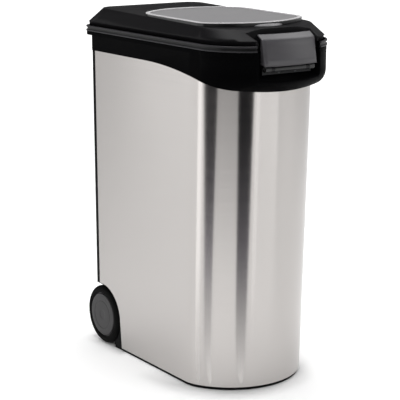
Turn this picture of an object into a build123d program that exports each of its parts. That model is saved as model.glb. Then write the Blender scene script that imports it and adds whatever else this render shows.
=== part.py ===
# Wheeled bin for dry pet food, with a hinged lid, a pouring hatch and a front latch
# Millimetres. +X is across the bin, the round front faces -Y, and +Z is up. z = 0 is the floor
from build123d import *
from math import atan2, cos, radians, sin, sqrt, tan
import os

os.makedirs("parts", exist_ok=True)

# Sizes of the bin's walls
base_width = 226.0
base_front = -188.0
wall_flare = 2.0
upper_height = 490.0
front_lean = 16.0
wall_rear = 187.0
wall_nose_turn = 62.3
wall_shoulder_radius = 60.0
wall_corner_radius = 4.0
least_corner_radius = 2.0
tub_wall = 2.4
floor_height = 5.0
floor_thickness = 3.0
foot_height = 5.2
foot_inset = 1.6
keel_depth = 14.0
upper_front = base_front - front_lean
upper_width = base_width + 2 * wall_flare

# Sizes of the rim that overhangs the walls
rim_side_overhang = 1.0
rim_front_overhang = 29.0
rim_rear_overhang = 34.0
rim_nose_turn = 13.85
rim_shoulder_radius = 88.0
rim_corner_radius = 27.0
rim_width = upper_width + 2 * rim_side_overhang
rim_front = upper_front - rim_front_overhang
rim_rear = wall_rear + rim_rear_overhang
rim_nose_radius = rim_shoulder_radius + (rim_width / 2 - rim_shoulder_radius) / sin(radians(rim_nose_turn))

# The collar round the mouth
flange_bottom = 554.5
flange_thickness = 6.5
flange_inset = 1.0
collar_wall = 2.4
collar_gap = 0.1
collar_side_depth = 25.5
swoosh_start = 14.0
swoosh_drop = 32.0
bulge_depth = 62.5
bulge_rise = 32.0
bulge_steps = 4
rib_count = 5
rib_pitch = 38.0
rib_thickness = 2.2
rib_reach = 22.0
rib_drop = 20.0
swoosh_height = flange_bottom - collar_side_depth
bulge_bottom = flange_bottom - bulge_depth
bulge_top = bulge_bottom + bulge_rise
band_bottom = flange_bottom + flange_thickness

# The grey band on the collar
band_height = 9.5
band_depth = 3.0
groove_width = 2.6
groove_depth = 1.1
band_top = band_bottom + band_height

# The sheet round the bin
wrap_thickness = 0.8
wrap_gap = 0.1
wrap_rear_margin = 13.5
wrap_arch_margin = 1.6
wrap_foot_gap = 0.2
wrap_top_gap = 0.15
tub_inset = wrap_thickness + wrap_gap

# The lid
lid_gap = 0.5
lid_inset = 4.5
lid_wall = 2.4
skirt_inset = 6.0
skirt_height = 6.5
lid_rise = 25.9
lid_side_slope = 12.5
lid_front_slope = 36.0
lid_rear_slope = 38.0
top_nose_turn = 28.9
top_shoulder_radius = 60.0
top_corner_radius = 28.0
top_tilt = 1.5
crease_radius = 1.5
lid_edge_height = band_top + skirt_height
top_rear_height = lid_edge_height + lid_rise
top_half_width = rim_width / 2 - lid_side_slope
top_front = rim_front + lid_front_slope
top_rear = rim_rear - lid_rear_slope
top_nose_radius = top_shoulder_radius + (top_half_width - top_shoulder_radius) / sin(radians(top_nose_turn))

# The seal under the lid
seal_width = 4.0
seal_inset = 5.5
seal_height = 5.0
seal_clearance = 0.3
seal_pinch = 0.5
mouth_gap = 1.0
mouth_inset = seal_inset + seal_width + mouth_gap

# The pouring hatch
hatch_side_margin = 1.5
hatch_front_margin = 27.0
hatch_length = 252.5
hatch_rear_bow = 44.5
hatch_front_bow = 43.0
hatch_rear_radius = 50.0
hatch_front_radius = 30.0
hatch_clearance = 0.3
hatch_thickness = 2.2
hatch_rim_width = 5.0
hatch_rim_height = 1.2
hatch_rim_gap = 0.02
hatch_ledge = 11.0
hatch_ledge_wall = 2.5
hatch_ledge_depth = 7.0
hatch_seal_width = 3.0
hatch_seal_depth = 3.0
hatch_seal_gap = 0.6
tab_half_width = 29.0
tab_reach = 9.0
tab_sag = 2.6
tab_thickness = 3.4
tab_gap = 0.02
scoop_depth = 1.8
scoop_margin = 6.0
hatch_half_width = top_half_width - hatch_side_margin
hatch_front = top_front + hatch_front_margin
hatch_rear = hatch_front + hatch_length
hatch_corner_y = hatch_rear - hatch_rear_bow
hatch_front_corner_y = hatch_front + hatch_front_bow

# Pins and knuckles of the lid
lid_pin_radius = 2.5
lid_knuckle_wall = 3.0
lid_pin_reach = 6.5
lid_pin_rise = 5.0
lid_knuckle_x = 52.0
lid_knuckle_length = 14.0
ear_width = 6.0
pin_clearance = 0.06
knuckle_gap = 0.4
lid_knuckle_radius = lid_pin_radius + lid_knuckle_wall
lid_pin_y = rim_rear + lid_pin_reach
lid_pin_z = band_bottom + lid_pin_rise

# Pin and knuckles of the hatch
hatch_pin_radius = 1.2
hatch_knuckle_wall = 1.4
hatch_pin_lift = 0.5
hatch_pin_setback = 3.2
hatch_pin_grip = 0.02
hatch_knuckle_x = 22.0
hatch_knuckle_length = 14.0
hatch_patch_margin = 3.6
hatch_patch_depth = 3.9
hatch_trough_gap = 0.5
hatch_knuckle_radius = hatch_pin_radius + hatch_knuckle_wall

# The latch
latch_half_width = 51.5
latch_face_radius = 230.0
latch_sweep = 32.0
latch_sink = 0.1
latch_drop = 22.2
latch_rise = 1.0
latch_crown = 8.8
latch_lean = 6.9
latch_flange = 12.9
latch_wall = 2.6
latch_depth = 12.0
latch_edge = 1.6
latch_pin_radius = 2.0
latch_pin_setback = 12.4
latch_pin_drop = 5.2
latch_knuckle_radius = 4.6
notch_gap = 1.0
notch_flare = 16.0
notch_depth = 40.0
notch_height = 23.0
notch_seal_gap = 1.0
pocket_gap = 7.5
pocket_height = 49.0
pocket_depth = 21.0
pocket_ledge = 10.0
latch_front = rim_front + latch_sink
latch_bottom = band_bottom - latch_drop
latch_shoulder = lid_edge_height + latch_rise
latch_top = latch_shoulder + latch_crown
latch_pin_y = latch_front + latch_pin_setback
latch_pin_z = latch_bottom - latch_pin_drop
pocket_back = rim_front + pocket_depth
pocket_bottom = band_bottom - pocket_height
notch_back = rim_front + notch_depth

# The bracket that carries the latch
bracket_margin = 3.5
bracket_thickness = 3.0
bracket_rise = 3.9
bracket_drop = 9.1
bracket_gap = 0.02
lug_inset = 17.5
lug_width = 6.0
lug_shy = 0.3
screw_x = 16.0
screw_drop = 5.1
screw_radius = 2.6
screw_height = 1.36
bracket_half_width = latch_half_width - bracket_margin
lug_x = latch_half_width - lug_inset

# The wheels and their axle
wheel_radius = 52.7
wheel_setback = 24.0
wheel_shy = 0.4
tyre_width = 34.0
tyre_depth = 12.7
tyre_shoulder = 7.0
tyre_shy = 0.6
cap_gap = 1.8
cap_thickness = 3.0
axle_radius = 4.0
axle_end_inset = 6.6
arch_clearance = 3.0
arch_splay = 4.2
arch_heel_turn = 50.0
carrier_gap = 17.6
carrier_width = 8.0
carrier_wall = 7.0
clip_wall = 5.0
clip_thickness = 3.0
wheel_clearance = 0.08
hub_wall = 5.0
hub_ribs = 6
hub_rib_thickness = 3.0
hub_seat = 0.02
cap_relief = 0.8
wheel_y = wall_rear - wheel_setback
wheel_face = rim_width / 2 - wheel_shy
hub_radius = wheel_radius - tyre_depth
cap_radius = hub_radius - cap_gap
axle_half_length = wheel_face - axle_end_inset
arch_radius = wheel_radius + arch_clearance
arch_foot_y = wheel_y - arch_radius - arch_splay
heel_y = wheel_y - arch_radius * cos(radians(arch_heel_turn))
carrier_x = wheel_face - tyre_width - carrier_gap
carrier_radius = axle_radius + carrier_wall
clip_radius = axle_radius + clip_wall

# Room beyond the bin for the blocks that cut it
beyond = 20.0


def plan(half, front, rear, nose, shoulder, corner):
    # Face of a D shaped outline: straight sides, square back with round corners, round front
    across = half - shoulder
    along = sqrt((nose - shoulder) ** 2 - across**2)
    nose_y = front + nose
    side_y = nose_y - along
    turn = atan2(across, along)
    joint = (nose * sin(turn), nose_y - nose * cos(turn))
    middle = (turn + radians(90)) / 2
    bow = (across + shoulder * sin(middle), side_y - shoulder * cos(middle))
    tuck = corner * (1 - cos(radians(45)))
    edges = [
        ThreePointArc((-joint[0], joint[1]), (0, front), joint),
        ThreePointArc(joint, bow, (half, side_y)),
        Line((half, side_y), (half, rear - corner)),
        ThreePointArc((half, rear - corner), (half - tuck, rear - tuck), (half - corner, rear)),
        Line((half - corner, rear), (corner - half, rear)),
        ThreePointArc((corner - half, rear), (tuck - half, rear - tuck), (-half, rear - corner)),
        Line((-half, rear - corner), (-half, side_y)),
        ThreePointArc((-half, side_y), (-bow[0], bow[1]), (-joint[0], joint[1])),
    ]
    return make_face(edges)


def wall_share(z):
    return z / upper_height


def wall_half(z):
    return base_width / 2 + (upper_width - base_width) / 2 * wall_share(z)


def wall_front(z):
    return base_front + (upper_front - base_front) * wall_share(z)


def wall_nose(z):
    return wall_shoulder_radius + (wall_half(z) - wall_shoulder_radius) / sin(radians(wall_nose_turn))


def wall_face(z, inset=0.0):
    # The bin's outline at a height
    face = plan(
        wall_half(z) - inset,
        wall_front(z) + inset,
        wall_rear - inset,
        wall_nose(z) - inset,
        wall_shoulder_radius - inset,
        max(wall_corner_radius - inset, least_corner_radius),
    )
    return Pos(0, 0, z) * face


def rim_face(z, inset=0.0):
    # The rim's outline at a height
    face = plan(
        rim_width / 2 - inset,
        rim_front + inset,
        rim_rear - inset,
        rim_nose_radius - inset,
        rim_shoulder_radius - inset,
        rim_corner_radius - inset,
    )
    return Pos(0, 0, z) * face


def walls(low, high, inset=0.0):
    # Solid bin between two heights
    return loft([wall_face(low, inset), wall_face(high, inset)], ruled=True)


def arch(margin=0.0):
    # Space for the wheels and the axle, right across the back of the bin
    radius = arch_radius + margin
    top = wheel_radius + radius
    side = wheel_y - radius
    heel = wheel_y - radius * cos(radians(arch_heel_turn))
    heel_z = wheel_radius - radius * sin(radians(arch_heel_turn))
    far = wall_rear + beyond
    outline = [
        Line((heel, heel_z), (heel, -beyond)),
        Line((heel, -beyond), (far, -beyond)),
        Line((far, -beyond), (far, top)),
        Line((far, top), (wheel_y, top)),
        ThreePointArc((wheel_y, top), (side, wheel_radius), (heel, heel_z)),
    ]
    return extrude(Plane.YZ * make_face(outline), amount=rim_width, both=True)


def wrap_arch():
    # The sheet's own cut, which runs straight down from the axle's height
    radius = arch_radius + wrap_arch_margin
    top = wheel_radius + radius
    side = wheel_y - radius
    foot = arch_foot_y - wrap_arch_margin
    half_turn = radius * cos(radians(45))
    far = wall_rear + beyond
    outline = [
        Line((side, wheel_radius), (foot, -beyond)),
        Line((foot, -beyond), (far, -beyond)),
        Line((far, -beyond), (far, top)),
        Line((far, top), (wheel_y, top)),
        ThreePointArc((wheel_y, top), (wheel_y - half_turn, wheel_radius + half_turn), (side, wheel_radius)),
    ]
    return extrude(Plane.YZ * make_face(outline), amount=rim_width, both=True)


def box(x0, x1, y0, y1, z0, z1):
    block = Box(x1 - x0, y1 - y0, z1 - z0, align=(Align.MIN, Align.MIN, Align.MIN))
    return Pos(x0, y0, z0) * block


def rod(radius, x0, x1, y, z):
    # Cylinder along X
    return Pos((x0 + x1) / 2, y, z) * Rot(0, 90, 0) * Cylinder(radius, x1 - x0)


def swoosh():
    # Space below the collar's curved lower edge
    radius = ((swoosh_start - upper_front) ** 2 + swoosh_drop**2) / (2 * swoosh_drop)
    reach = rim_front - beyond
    run = swoosh_start - reach
    half_run = run / 2
    middle = swoosh_height - radius + sqrt(radius**2 - half_run**2)
    end = swoosh_height - radius + sqrt(radius**2 - run**2)
    far = rim_rear + beyond
    outline = [
        Line((far, swoosh_height), (swoosh_start, swoosh_height)),
        ThreePointArc((swoosh_start, swoosh_height), (swoosh_start - half_run, middle), (reach, end)),
        Line((reach, end), (reach, -beyond)),
        Line((reach, -beyond), (far, -beyond)),
        Line((far, -beyond), (far, swoosh_height)),
    ]
    return extrude(Plane.YZ * make_face(outline), amount=rim_width, both=True)


# The bin's own shell
def make_tub():
    outer = walls(foot_height, flange_bottom, tub_inset) + walls(0.0, foot_height, tub_inset + foot_inset)
    inner = tub_inset + tub_wall
    floor_top = floor_height + floor_thickness
    cavity = walls(floor_top, flange_bottom + 1.0, inner) - arch(tub_wall)
    under = walls(-1.0, floor_height, inner + foot_inset)
    keel = walls(0.0, floor_top, tub_inset + foot_inset)
    bay_y = heel_y - keel_depth
    bay_front = box(-rim_width, rim_width, bay_y, heel_y + tub_wall, 0.0, floor_top - 1.0)
    shell = outer - cavity - under + (keel & bay_front)
    return shell - arch() + make_carriers()


def make_carriers():
    # Two cheeks under the step of the floor carry the axle
    top = 2 * wheel_radius + arch_clearance + tub_wall / 4
    front = wheel_y - carrier_radius
    back = wheel_y + carrier_radius
    plates = []
    for side in (-1, 1):
        x0 = side * carrier_x - carrier_width / 2
        x1 = x0 + carrier_width
        boss = rod(carrier_radius, x0, x1, wheel_y, wheel_radius)
        web = box(x0, x1, front, back, wheel_radius, top)
        bore = rod(axle_radius + wheel_clearance, x0 - 1, x1 + 1, wheel_y, wheel_radius)
        plates.append(boss + web - bore)
    return plates[0] + plates[1]


# The sheet round the bin
def make_wrap():
    low = foot_height + wrap_foot_gap
    top = swoosh_height + 1.0
    sheet = walls(low, top) - walls(low - 1.0, top + 1.0, wrap_thickness)
    rear = box(-rim_width, rim_width, wall_rear - wrap_rear_margin, rim_rear, -1.0, top + 1.0)
    sheet = sheet - rear - wrap_arch()
    return sheet & (Pos(0, 0, -wrap_top_gap) * swoosh())


def bulge_face(z, inset=0.0):
    # The collar's outline: the wall's at the bottom, swelling to the rim's at the front
    share = min(max((z - bulge_bottom) / (bulge_top - bulge_bottom), 0.0), 1.0)
    swell = sin(radians(90) * share)
    half = wall_half(z) + (rim_width / 2 - flange_inset - wall_half(z)) * swell
    front = wall_front(z) + (rim_front + flange_inset - wall_front(z)) * swell
    nose = wall_nose(z) + (rim_nose_radius - wall_nose(z)) * swell
    shoulder = wall_shoulder_radius + (rim_shoulder_radius - wall_shoulder_radius) * swell
    face = plan(
        half - inset,
        front + inset,
        wall_rear - inset,
        nose - inset,
        shoulder - inset,
        max(wall_corner_radius - inset, least_corner_radius),
    )
    return Pos(0, 0, z) * face


def bulge(inset=0.0, top=band_bottom):
    rise = bulge_rise / bulge_steps
    heights = [bulge_bottom + rise * k for k in range(bulge_steps + 1)]
    swell = loft([bulge_face(z, inset) for z in heights])
    upright = loft([bulge_face(bulge_top, inset), bulge_face(top, inset)], ruled=True)
    return swell + upright


def pocket(wall=0.0):
    # Space for the latch in the front of the collar, with a sloping ledge below it
    front = rim_front - beyond
    back = pocket_back + wall
    half = latch_half_width + pocket_gap + wall
    low = pocket_bottom - wall
    high = band_top + beyond
    outline = Polyline(
        (front, low - pocket_ledge), (back, low + pocket_ledge), (back, high), (front, high), close=True
    )
    return extrude(Plane.YZ * make_face(outline), amount=half, both=True)


def behind_notch(block, inset):
    # Cuts a block off square behind the latch's notch, an inset in from the seal's front
    front = notch_back + lid_wall + notch_seal_gap + inset - seal_inset
    return block & box(-rim_width, rim_width, front, rim_rear, 0.0, top_rear_height + 2 * beyond)


# The collar round the mouth
def make_collar():
    outer = bulge() + extrude(rim_face(flange_bottom, flange_inset), amount=flange_thickness)
    hollow = bulge(collar_wall, flange_bottom)
    hollow = hollow & box(-rim_width, rim_width, rim_front, wall_rear / 2, 0.0, flange_bottom)
    liner = outer & pocket(collar_wall)
    low = bulge_bottom - beyond
    tub_space = walls(low, flange_bottom, tub_inset - collar_gap)
    below = walls(low, flange_bottom, tub_inset + tub_wall)
    mouth = behind_notch(walls(flange_bottom - 0.5, band_bottom + 1.0, mouth_inset), mouth_inset)
    ring = outer - hollow + liner + make_rear_ribs()
    ring = ring - tub_space - mouth - below - swoosh() - pocket()
    return ring + make_collar_ears()


def make_rear_ribs():
    # Gussets under the overhang at the back, where a hand takes hold
    top = flange_bottom + 1.0
    outline = Polyline(
        (wall_rear - 1.0, top), (wall_rear + rib_reach, top), (wall_rear + rib_reach, flange_bottom),
        (wall_rear, flange_bottom - rib_drop), (wall_rear - 1.0, flange_bottom - rib_drop), close=True
    )
    rib = extrude(Plane.YZ * make_face(outline), amount=rib_thickness / 2, both=True)
    ribs = [Pos((k - (rib_count - 1) / 2) * rib_pitch, 0, 0) * rib for k in range(rib_count)]
    return Part() + ribs


def make_collar_ears():
    # Two pairs of ears at the back hold the lid's pins
    web_front = rim_rear - lid_knuckle_radius - 1.0
    ears = []
    for side in (-1, 1):
        for place in (-1, 1):
            middle = side * lid_knuckle_x + place * (lid_knuckle_length / 2 + knuckle_gap + ear_width / 2)
            x0 = middle - ear_width / 2
            x1 = middle + ear_width / 2
            barrel = rod(lid_knuckle_radius, x0, x1, lid_pin_y, lid_pin_z)
            web = box(x0, x1, web_front, lid_pin_y, flange_bottom, band_bottom)
            foot = box(x0, x1, rim_rear + 1.0, lid_pin_y, flange_bottom + 1.0, lid_pin_z)
            bore = rod(lid_pin_radius + pin_clearance, x0 - 1, x1 + 1, lid_pin_y, lid_pin_z)
            ears.append(barrel + web + foot - bore)
    return Part() + ears


# The grey band on the collar
def make_band():
    ring = extrude(rim_face(band_bottom), amount=band_height)
    ring = ring - extrude(rim_face(band_bottom - 1.0, band_depth), amount=band_height + 2.0)
    groove_low = band_bottom + (band_height - groove_width) / 2
    groove = extrude(rim_face(groove_low, -1.0), amount=groove_width)
    groove = groove - extrude(rim_face(groove_low - 1.0, groove_depth), amount=groove_width + 2.0)
    return ring - groove - pocket()


def top_height(y):
    # Height of the lid's sloping top
    return top_rear_height - (top_rear - y) * tan(radians(top_tilt))


def on_top(shape, lift=0.0):
    # Lays a flat shape, drawn in plan, on the lid's sloping top
    return Pos(0, 0, top_height(0.0) + lift) * Rot(top_tilt, 0, 0) * shape


def lid_block(inset=0.0):
    edge = plan(
        rim_width / 2 - lid_inset - inset,
        rim_front + lid_inset + inset,
        rim_rear - lid_inset - inset,
        rim_nose_radius - lid_inset - inset,
        rim_shoulder_radius - lid_inset - inset,
        rim_corner_radius - lid_inset - inset,
    )
    top = plan(
        top_half_width - inset,
        top_front + inset,
        top_rear - inset,
        top_nose_radius - inset,
        top_shoulder_radius - inset,
        top_corner_radius - inset,
    )
    low = Pos(0, 0, lid_edge_height) * edge
    return loft([low, on_top(top, -inset)], ruled=True)


def lid_outside():
    # The lid's block with a soft crease round its top
    block = lid_block()
    return fillet(block.faces().sort_by(Axis.Z)[-1].outer_wire().edges(), crease_radius)


def skirt_block(inset, low, high):
    face = rim_face(low, skirt_inset + inset)
    return extrude(face, amount=high - low)


def notch(wall=0.0):
    # Space for the latch's top, flared towards the top
    half = latch_half_width + notch_gap + wall
    wide = half + notch_flare
    low = band_bottom - 1.0
    high = lid_edge_height + notch_height
    outline = Polyline((-half, low), (half, low), (wide, high), (-wide, high), close=True)
    block = extrude(Plane.XZ * make_face(outline), amount=notch_depth + beyond)
    return Pos(0, notch_back + wall, 0) * block


def hatch_outline(inset=0.0):
    # Face of the hatch in plan: straight sides, slightly bowed back, round front
    half = hatch_half_width - inset
    rear = hatch_rear - inset
    side_rear = hatch_corner_y - inset
    side_front = hatch_front_corner_y + inset
    front = hatch_front + inset
    edges = [
        ThreePointArc((-half, side_rear), (0, rear), (half, side_rear)),
        Line((half, side_rear), (half, side_front)),
        ThreePointArc((half, side_front), (0, front), (-half, side_front)),
        Line((-half, side_front), (-half, side_rear)),
    ]
    face = make_face(edges)
    face = fillet(face.vertices().group_by(Axis.Y)[0], hatch_front_radius - inset)
    return fillet(face.vertices().group_by(Axis.Y)[-1], hatch_rear_radius - inset)


def hatch_pin_place():
    y = hatch_rear + hatch_pin_setback
    return y, top_height(y) + hatch_pin_lift


# The main lid
def make_lid():
    skirt_low = band_top + lid_gap
    outside = lid_outside()
    outer = outside + skirt_block(0.0, skirt_low, lid_edge_height)
    inner = lid_block(lid_wall) + skirt_block(lid_wall, skirt_low - 1, lid_edge_height)
    shell = outer - inner
    shell = shell + (outer & notch(lid_wall)) - notch()
    shell = shell + make_seal_rail(outside)
    ledge = hatch_outline(hatch_ledge - hatch_ledge_wall)
    opening = extrude(hatch_outline(hatch_ledge), amount=2 * hatch_ledge_depth, both=True)
    shell = shell + (on_top(extrude(ledge, amount=-hatch_ledge_depth)) & outer) - on_top(opening)
    shell = shell + make_hatch_ears() + make_lid_knuckles()
    shell = shell - hatch_knuckle_space() - finger_scoop()
    return shell - hatch_pin_rod(hatch_pin_radius + hatch_pin_grip, 1.0)


def make_seal_rail(outside):
    # The wall inside the lid that presses on the seal
    low = band_bottom + seal_clearance + seal_height
    high = top_rear_height + beyond
    near = seal_inset + seal_pinch
    far = seal_inset + seal_width - seal_pinch
    rail = behind_notch(walls(low, high, near), near)
    rail = rail - behind_notch(walls(low - 1.0, high + 1.0, far), far)
    return rail & (outside + skirt_block(lid_wall, low, lid_edge_height))


def hatch_pin_rod(radius, margin=0.0):
    y, z = hatch_pin_place()
    reach = hatch_knuckle_x + hatch_knuckle_length / 2 + 1.0 + margin
    return rod(radius, -reach, reach, y, z)


def make_hatch_ears():
    # One knuckle in the middle carries the hatch's pin, over a thicker patch of the lid
    y, z = hatch_pin_place()
    reach = hatch_knuckle_x - hatch_knuckle_length / 2 - knuckle_gap
    half = hatch_knuckle_x + hatch_knuckle_length
    front = y - hatch_knuckle_radius - hatch_patch_margin
    back = y + hatch_knuckle_radius + hatch_patch_margin
    low = z - hatch_knuckle_radius - hatch_patch_depth
    patch = box(-half, half, front, back, low, low + hatch_patch_depth + hatch_trough_gap)
    barrel = rod(hatch_knuckle_radius, -reach, reach, y, z)
    web = box(-reach, reach, y - hatch_trough_gap, y + hatch_knuckle_radius, low + 1.0, z)
    return patch + barrel + web


def hatch_knuckle_space():
    y, z = hatch_pin_place()
    half = hatch_knuckle_length / 2 + knuckle_gap
    front = y - hatch_knuckle_radius - hatch_patch_margin - 1.0
    high = z + hatch_knuckle_radius
    spaces = []
    for side in (-1, 1):
        x = side * hatch_knuckle_x
        trough = rod(hatch_knuckle_radius + hatch_trough_gap, x - half, x + half, y, z)
        spaces.append(trough + box(x - half, x + half, front, y, z - hatch_pin_radius, high))
    return Part() + spaces


def make_lid_knuckles():
    # The lid's two knuckles reach back from its skirt to the pins
    half = lid_knuckle_length / 2
    front = rim_rear - lid_inset - lid_wall - 1.6
    high = lid_pin_z + lid_knuckle_radius + lid_knuckle_wall
    parts = []
    for side in (-1, 1):
        x = side * lid_knuckle_x
        barrel = rod(lid_knuckle_radius, x - half, x + half, lid_pin_y, lid_pin_z)
        arm = box(x - half, x + half, front, lid_pin_y, band_top + lid_gap, high)
        bore = rod(lid_pin_radius + pin_clearance, x - half - 1, x + half + 1, lid_pin_y, lid_pin_z)
        parts.append(barrel + arm - bore)
    return Part() + parts


def finger_scoop():
    # A shallow hollow in front of the hatch's tab
    bowl = Cylinder(tab_half_width + scoop_margin, 2 * scoop_depth)
    return on_top(Pos(0, hatch_front + tab_half_width - 1.0, 0.0) * bowl)


def make_hatch_panel():
    plate = on_top(extrude(hatch_outline(), amount=hatch_thickness), hatch_clearance)
    y, z = hatch_pin_place()
    half = hatch_knuckle_length / 2
    front = hatch_rear - hatch_knuckle_length / 2
    high = z + hatch_knuckle_radius - hatch_patch_margin / 2
    for side in (-1, 1):
        x = side * hatch_knuckle_x
        barrel = rod(hatch_knuckle_radius, x - half, x + half, y, z)
        web = box(x - half, x + half, front, y, z - pin_clearance, high)
        plate = plate + barrel + web
    return plate - hatch_pin_rod(hatch_pin_radius + pin_clearance, 1.0)


def make_hatch_rim():
    ring = extrude(hatch_outline() - hatch_outline(hatch_rim_width), amount=hatch_rim_height)
    top_edges = ring.faces().sort_by(Axis.Z)[-1].outer_wire().edges()
    ring = fillet(top_edges, hatch_rim_height * 0.6)
    return on_top(ring, hatch_clearance + hatch_thickness + hatch_rim_gap)


def make_hatch_tab():
    # Lens shaped lip that leans out from the hatch's front edge
    edges = [
        ThreePointArc((-tab_half_width, 0), (0, 1.0), (tab_half_width, 0)),
        ThreePointArc((tab_half_width, 0), (0, -tab_sag - tab_reach), (-tab_half_width, 0)),
    ]
    lens = extrude(make_face(edges), amount=tab_thickness)
    edge_y = hatch_front + (tab_half_width / hatch_half_width) ** 2 * hatch_front_bow
    hatch_space = extrude(hatch_outline(-tab_gap), amount=2 * tab_thickness, both=True)
    return on_top(Pos(0, edge_y, 0) * lens - hatch_space, hatch_clearance)


def make_hatch_seal():
    inset = hatch_ledge + hatch_seal_gap
    ring = hatch_outline(inset) - hatch_outline(inset + hatch_seal_width)
    return on_top(extrude(ring, amount=-hatch_seal_depth), hatch_clearance)


def make_lid_seal():
    low = band_bottom + seal_clearance
    inner = seal_inset + seal_width
    ring = behind_notch(extrude(wall_face(low, seal_inset), amount=seal_height), seal_inset)
    return ring - behind_notch(extrude(wall_face(low - 1, inner), amount=seal_height + 2), inner)


def make_lid_pins():
    reach = lid_knuckle_length / 2 + knuckle_gap + ear_width
    pins = []
    for side in (-1, 1):
        x = side * lid_knuckle_x
        pins.append(rod(lid_pin_radius, x - reach, x + reach, lid_pin_y, lid_pin_z))
    return Part() + pins


# The latch
def latch_outside():
    # Its section from the lower lip up over the shoulder to the flange's back edge
    crown_y = latch_front + latch_lean + latch_flange
    back = latch_front + latch_depth
    under = latch_top - latch_wall
    return Polyline(
        (latch_front, latch_bottom),
        (latch_front + latch_lean, latch_shoulder),
        (crown_y, latch_top),
        (crown_y, under),
        (back, under - 2 * latch_wall),
        (back, latch_bottom),
        close=True,
    )


def latch_inside():
    front = latch_front + latch_wall
    far = latch_front + 2 * latch_depth
    low = latch_bottom + latch_wall
    high = latch_top - latch_wall
    return Polyline(
        (front, low),
        (front + latch_lean, latch_shoulder - latch_wall * 0.6),
        (latch_front + latch_lean + latch_flange + latch_wall * 0.4, high),
        (far, high),
        (far, low),
        close=True,
    )


def latch_turned(outline):
    # Turns a section about the upright axis of the latch's round face
    centre = latch_front + latch_face_radius
    turn = Axis((0, centre, 0), (0, 0, 1))
    body = revolve(Plane.YZ * make_face(outline), axis=turn, revolution_arc=latch_sweep)
    return Pos(0, centre, 0) * Rot(0, 0, -latch_sweep / 2) * Pos(0, -centre, 0) * body


def latch_cut(half):
    return box(-half, half, rim_front - beyond, rim_rear, floor_height, latch_top + beyond)


def make_latch():
    inside = latch_half_width - latch_wall
    cap = latch_turned(latch_outside()) & latch_cut(latch_half_width)
    sides = cap.faces().sort_by(Axis.X)
    front_edges = [edge for face in (sides[0], sides[-1]) for edge in face.edges().sort_by(Axis.Y)[:2]]
    cap = chamfer(front_edges, latch_edge)
    cap = cap - (latch_turned(latch_inside()) & latch_cut(inside))
    barrel = rod(latch_knuckle_radius, -bracket_half_width, bracket_half_width, latch_pin_y, latch_pin_z)
    web_front = latch_pin_y - latch_pin_radius
    web_back = latch_pin_y + lug_width / 2
    web = box(-inside, inside, web_front, web_back, latch_pin_z, latch_bottom + latch_wall)
    cap = cap + barrel + web
    front = rim_front - beyond
    back = latch_pin_y + beyond
    for side in (-1, 1):
        x = side * lug_x
        half = lug_width / 2 + knuckle_gap
        cap = cap - box(x - half, x + half, front, back, latch_pin_z - latch_depth, latch_bottom - 0.01)
    return cap - rod(latch_pin_radius + pin_clearance, -rim_width, rim_width, latch_pin_y, latch_pin_z)


def make_bracket():
    front = pocket_back - bracket_thickness
    back = pocket_back - bracket_gap
    low = latch_pin_z - bracket_drop
    plate = box(-bracket_half_width, bracket_half_width, front, back, low, latch_pin_z + bracket_rise)
    lug_radius = latch_knuckle_radius - lug_shy
    arm_half = lug_radius - lug_shy
    for side in (-1, 1):
        x0 = side * lug_x - lug_width / 2
        x1 = x0 + lug_width
        lug = rod(lug_radius, x0, x1, latch_pin_y, latch_pin_z)
        arm = box(x0, x1, latch_pin_y, pocket_back - 1.0, latch_pin_z - arm_half, latch_pin_z + arm_half)
        plate = plate + lug + arm
    return plate - rod(latch_pin_radius + pin_clearance, -rim_width, rim_width, latch_pin_y, latch_pin_z)


def make_bracket_screws():
    y = pocket_back - bracket_thickness - screw_height / 2 - bracket_gap
    z = latch_pin_z - screw_drop
    head = Rot(90, 0, 0) * Cylinder(screw_radius, screw_height)
    return Part() + [Pos(side * screw_x, y, z) * head for side in (-1, 1)]


# One wheel, made for the +X side; the other side is its mirror
def make_tyre():
    inner = wheel_face - tyre_width
    outer = wheel_face - tyre_shy
    low = hub_radius
    high = wheel_radius
    shoulder = high - tyre_shoulder
    tuck = tyre_shoulder * (1 - cos(radians(45)))
    edges = [
        Line((inner, low), (outer, low)),
        Line((outer, low), (outer, shoulder)),
        ThreePointArc((outer, shoulder), (outer - tuck, high - tuck), (outer - tyre_shoulder, high)),
        Line((outer - tyre_shoulder, high), (inner + tyre_shoulder, high)),
        ThreePointArc((inner + tyre_shoulder, high), (inner + tuck, high - tuck), (inner, shoulder)),
        Line((inner, shoulder), (inner, low)),
    ]
    face = Plane.XY * make_face(edges)
    ring = revolve(face, axis=Axis.X, revolution_arc=360)
    return Pos(0, wheel_y, wheel_radius) * ring


def make_hub():
    # A turned hub with a deep rim and a web, stiffened by ribs behind the web
    inner = wheel_face - tyre_width + 1.0
    outer = wheel_face - cap_thickness
    web = outer - 3 * clip_thickness
    bore = axle_radius + wheel_clearance
    well = axle_half_length - clip_thickness - 1.0
    rim_inside = hub_radius - hub_wall
    outline = Polyline(
        (inner, bore),
        (inner, bore + hub_wall),
        (web, bore + hub_wall + 3.0),
        (web, rim_inside),
        (inner, rim_inside + 1.0),
        (inner, hub_radius - hub_seat),
        (outer, hub_radius - hub_seat),
        (outer, rim_inside - 1.0),
        (outer - 2.0, clip_radius + 2.0),
        (well, clip_radius + 1.5),
        (well, bore),
        close=True,
    )
    body = revolve(make_face(outline), axis=Axis.X, revolution_arc=360)
    half = hub_rib_thickness / 2
    rib = box(inner + 2.0, web + 0.5, bore + hub_wall - 1.0, rim_inside + 2.0, -half, half)
    for k in range(hub_ribs):
        body = body + Rot(360.0 / hub_ribs * k, 0, 0) * rib
    return Pos(0, wheel_y, wheel_radius) * body


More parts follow.
